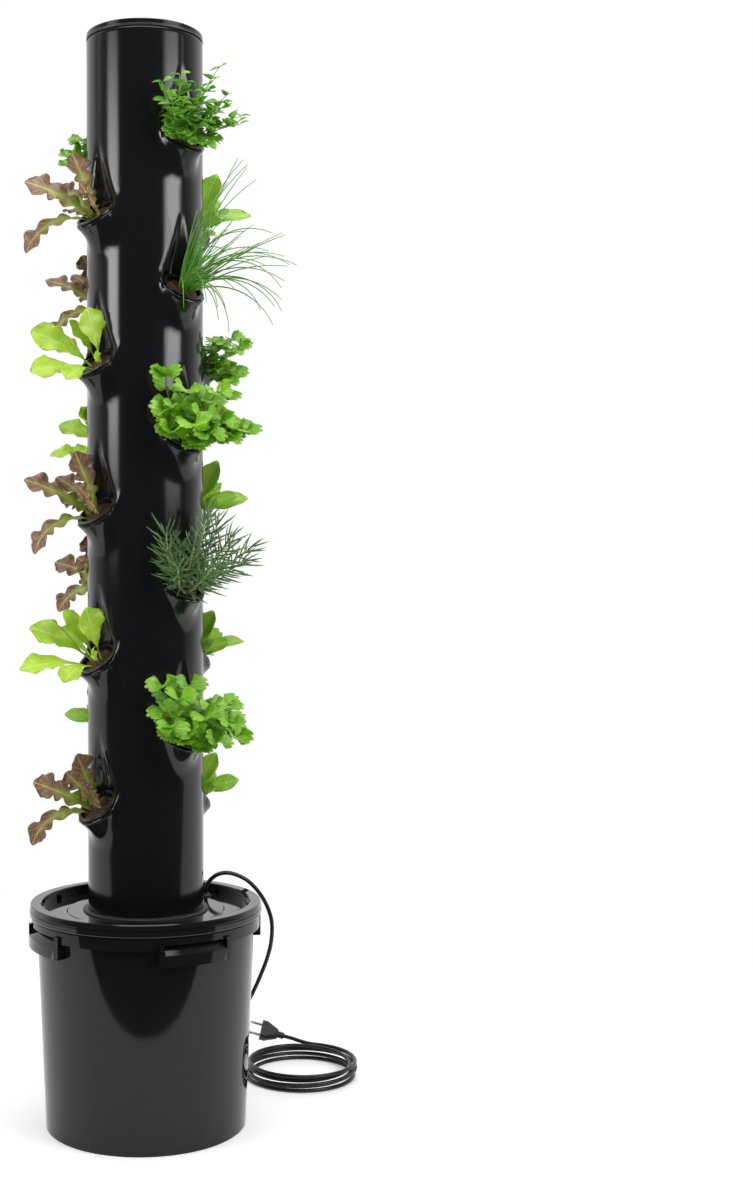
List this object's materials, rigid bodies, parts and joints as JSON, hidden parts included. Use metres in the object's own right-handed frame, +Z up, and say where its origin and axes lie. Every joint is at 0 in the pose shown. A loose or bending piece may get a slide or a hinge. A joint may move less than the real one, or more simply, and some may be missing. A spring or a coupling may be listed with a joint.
{
  "type": "hydroponic tower",
  "caption": "Free-standing hydroponic tower: a tall black pipe with formed planting pockets and net cups, standing in a lidded pail with a pump and a coiled mains lead.",
  "frame": {"origin": "centre of the pail's foot on the floor", "axes": "+Z up along the pipe, -Y towards the viewer of the picture, +X to the viewer's right"},
  "size_m": [0.4886, 0.4654, 1.504],
  "materials": {
    "pail_plastic": "glossy injection-moulded black",
    "pipe_plastic": "glossy black pipe",
    "cup_plastic": "satin black",
    "inner_plastic": "satin dark grey",
    "pump_plastic": "satin black",
    "knob_plastic": "satin grey",
    "hose_plastic": "smooth grey hose",
    "seal_rubber": "matt black rubber",
    "shaft_steel": "ground stainless steel",
    "lead_sheath": "black PVC sheath",
    "plug_plastic": "moulded black PVC",
    "pin_metal": "nickel plate",
    "herb": "fresh leaf green",
    "chive": "grass green",
    "rosemary": "grey green needles",
    "red_lettuce": "green leaf with red brown edges",
    "green_lettuce": "pale leaf green",
    "spinach": "smooth leaf green"
  },
  "bodies": {
    "reservoir": {"bucket": "pail_plastic", "pump_housing": "pump_plastic", "pump_strainer": "pump_plastic", "pump_feet": "seal_rubber", "impeller_shaft": "shaft_steel", "riser_hose": "hose_plastic", "cord_inner": "lead_sheath", "cord_free": "lead_sheath", "cord_coil": "lead_sheath", "plug_body": "plug_plastic", "plug_pins": "pin_metal"},
    "lid": {"lid": "pail_plastic", "lid_seal": "seal_rubber", "pipe_seal": "seal_rubber", "cord_grommet": "seal_rubber"},
    "tower": {"tower_tube": "pipe_plastic", "distributor": "inner_plastic"},
    "cap": {"top_cap": "pipe_plastic"},
    "impeller": {"impeller": "inner_plastic"},
    "flow_knob": {"flow_knob": "knob_plastic"},
    "cup_a1": {"cup_a1": "cup_plastic", "plant_a1": "herb"},
    "cup_a2": {"cup_a2": "cup_plastic", "plant_a2": "chive"},
    "cup_a3": {"cup_a3": "cup_plastic", "plant_a3": "herb"},
    "cup_a4": {"cup_a4": "cup_plastic", "plant_a4": "rosemary"},
    "cup_a5": {"cup_a5": "cup_plastic", "plant_a5": "herb"},
    "cup_b1": {"cup_b1": "cup_plastic", "plant_b1": "red_lettuce"},
    "cup_b2": {"cup_b2": "cup_plastic", "plant_b2": "green_lettuce"},
    "cup_b3": {"cup_b3": "cup_plastic", "plant_b3": "red_lettuce"},
    "cup_b4": {"cup_b4": "cup_plastic", "plant_b4": "green_lettuce"},
    "cup_b5": {"cup_b5": "cup_plastic", "plant_b5": "red_lettuce"},
    "cup_c1": {"cup_c1": "cup_plastic", "plant_c1": "herb"},
    "cup_c2": {"cup_c2": "cup_plastic", "plant_c2": "red_lettuce"},
    "cup_c3": {"cup_c3": "cup_plastic", "plant_c3": "green_lettuce"},
    "cup_c4": {"cup_c4": "cup_plastic", "plant_c4": "red_lettuce"},
    "cup_c5": {"cup_c5": "cup_plastic", "plant_c5": "spinach"},
    "cup_d1": {"cup_d1": "cup_plastic", "plant_d1": "spinach"},
    "cup_d2": {"cup_d2": "cup_plastic", "plant_d2": "herb"},
    "cup_d3": {"cup_d3": "cup_plastic", "plant_d3": "spinach"},
    "cup_d4": {"cup_d4": "cup_plastic", "plant_d4": "spinach"},
    "cup_d5": {"cup_d5": "cup_plastic", "plant_d5": "spinach"}
  },
  "joints": [
    {"name": "tower_lift", "type": "slide", "parent": "reservoir", "child": "tower", "axis": [0, 0, 1], "range_m": [0, 0.32]},
    {"name": "lid_lift", "type": "slide", "parent": "reservoir", "child": "lid", "axis": [0, 0, 1], "range_m": [0, 0.05], "deforming": ["cord_free", "cord_inner"]},
    {"name": "cap_lift", "type": "slide", "parent": "tower", "child": "cap", "axis": [0, 0, 1], "range_m": [0, 0.05]},
    {"name": "impeller_spin", "type": "hinge", "parent": "reservoir", "child": "impeller", "pos_m": [-0.012, 0, 0.036], "axis": [1, 0, 0], "continuous": true},
    {"name": "flow_turn", "type": "hinge", "parent": "reservoir", "child": "flow_knob", "pos_m": [-0.032, 0, 0.036], "axis": [-1, 0, 0], "range_deg": [-45, 45]},
    {"name": "cup_a1_slide", "type": "slide", "parent": "tower", "child": "cup_a1", "axis": [0.3957, -0.5065, 0.766], "range_m": [0, 0.055]},
    {"name": "cup_a2_slide", "type": "slide", "parent": "tower", "child": "cup_a2", "axis": [0.3957, -0.5065, 0.766], "range_m": [0, 0.055]},
    {"name": "cup_a3_slide", "type": "slide", "parent": "tower", "child": "cup_a3", "axis": [0.3957, -0.5065, 0.766], "range_m": [0, 0.055]},
    {"name": "cup_a4_slide", "type": "slide", "parent": "tower", "child": "cup_a4", "axis": [0.3957, -0.5065, 0.766], "range_m": [0, 0.055]},
    {"name": "cup_a5_slide", "type": "slide", "parent": "tower", "child": "cup_a5", "axis": [0.3957, -0.5065, 0.766], "range_m": [0, 0.055]},
    {"name": "cup_b1_slide", "type": "slide", "parent": "tower", "child": "cup_b1", "axis": [-0.5065, -0.3957, 0.766], "range_m": [0, 0.055]},
    {"name": "cup_b2_slide", "type": "slide", "parent": "tower", "child": "cup_b2", "axis": [-0.5065, -0.3957, 0.766], "range_m": [0, 0.055]},
    {"name": "cup_b3_slide", "type": "slide", "parent": "tower", "child": "cup_b3", "axis": [-0.5065, -0.3957, 0.766], "range_m": [0, 0.055]},
    {"name": "cup_b4_slide", "type": "slide", "parent": "tower", "child": "cup_b4", "axis": [-0.5065, -0.3957, 0.766], "range_m": [0, 0.055]},
    {"name": "cup_b5_slide", "type": "slide", "parent": "tower", "child": "cup_b5", "axis": [-0.5065, -0.3957, 0.766], "range_m": [0, 0.055]},
    {"name": "cup_c1_slide", "type": "slide", "parent": "tower", "child": "cup_c1", "axis": [-0.3957, 0.5065, 0.766], "range_m": [0, 0.055]},
    {"name": "cup_c2_slide", "type": "slide", "parent": "tower", "child": "cup_c2", "axis": [-0.3957, 0.5065, 0.766], "range_m": [0, 0.055]},
    {"name": "cup_c3_slide", "type": "slide", "parent": "tower", "child": "cup_c3", "axis": [-0.3957, 0.5065, 0.766], "range_m": [0, 0.055]},
    {"name": "cup_c4_slide", "type": "slide", "parent": "tower", "child": "cup_c4", "axis": [-0.3957, 0.5065, 0.766], "range_m": [0, 0.055]},
    {"name": "cup_c5_slide", "type": "slide", "parent": "tower", "child": "cup_c5", "axis": [-0.3957, 0.5065, 0.766], "range_m": [0, 0.055]},
    {"name": "cup_d1_slide", "type": "slide", "parent": "tower", "child": "cup_d1", "axis": [0.5065, 0.3957, 0.766], "range_m": [0, 0.055]},
    {"name": "cup_d2_slide", "type": "slide", "parent": "tower", "child": "cup_d2", "axis": [0.5065, 0.3957, 0.766], "range_m": [0, 0.055]},
    {"name": "cup_d3_slide", "type": "slide", "parent": "tower", "child": "cup_d3", "axis": [0.5065, 0.3957, 0.766], "range_m": [0, 0.055]},
    {"name": "cup_d4_slide", "type": "slide", "parent": "tower", "child": "cup_d4", "axis": [0.5065, 0.3957, 0.766], "range_m": [0, 0.055]},
    {"name": "cup_d5_slide", "type": "slide", "parent": "tower", "child": "cup_d5", "axis": [0.5065, 0.3957, 0.766], "range_m": [0, 0.055]}
  ]
}
